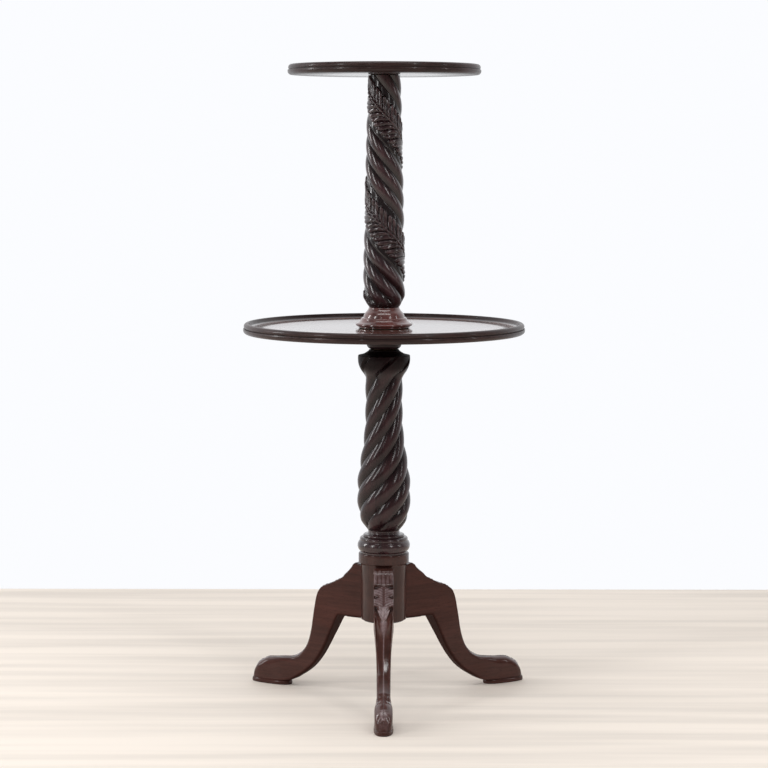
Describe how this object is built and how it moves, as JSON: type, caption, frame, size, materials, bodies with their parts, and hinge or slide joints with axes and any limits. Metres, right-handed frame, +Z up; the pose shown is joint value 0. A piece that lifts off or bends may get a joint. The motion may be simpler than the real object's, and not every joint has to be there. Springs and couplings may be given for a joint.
{
  "type": "dumbwaiter serving stand",
  "caption": "Tiered mahogany serving stand: dished round trays that turn on a spiral-turned pillar over a tripod of carved cabriole legs.",
  "frame": {"origin": "on the floor, on the pillar's axis, where the trays turn", "axes": "+Z up along the pillar, front leg towards -Y, +X to the right seen from the front"},
  "size_m": [0.5142, 0.5429, 1.1404],
  "materials": {
    "leg_mahogany": "polished red-brown mahogany",
    "column_mahogany": "polished very dark mahogany",
    "tray_mahogany": "french-polished mahogany",
    "foot_mahogany": "polished red mahogany",
    "birch_dowel": "plain turned dowel",
    "felt": "green baize",
    "iron": "black iron plate",
    "brass": "worn brass",
    "steel_screws": "old steel screws"
  },
  "bodies": {
    "stand": {"hub": "leg_mahogany", "leg_front": "leg_mahogany", "leg_right": "leg_mahogany", "leg_left": "leg_mahogany", "leg_plate": "iron", "leg_screws": "steel_screws", "hub_screws": "steel_screws", "lower_column": "column_mahogany", "lower_washer": "brass", "centre_dowel": "birch_dowel", "foot_felt": "felt", "column_foot": "foot_mahogany", "upper_column": "column_mahogany", "upper_washer": "brass"},
    "lower_tier": {"lower_tray": "tray_mahogany", "lower_tray_boss": "column_mahogany", "boss_screws": "steel_screws"},
    "upper_tier": {"upper_tray": "tray_mahogany", "pivot_plate": "iron", "pivot_plate_screws": "steel_screws"}
  },
  "joints": [
    {"name": "lower_tray_turn", "type": "hinge", "parent": "stand", "child": "lower_tier", "pos_m": [0, 0, 0.6637], "axis": [0, 0, 1], "continuous": true},
    {"name": "upper_tray_turn", "type": "hinge", "parent": "stand", "child": "upper_tier", "pos_m": [0, 0, 1.1221], "axis": [0, 0, 1], "continuous": true}
  ]
}
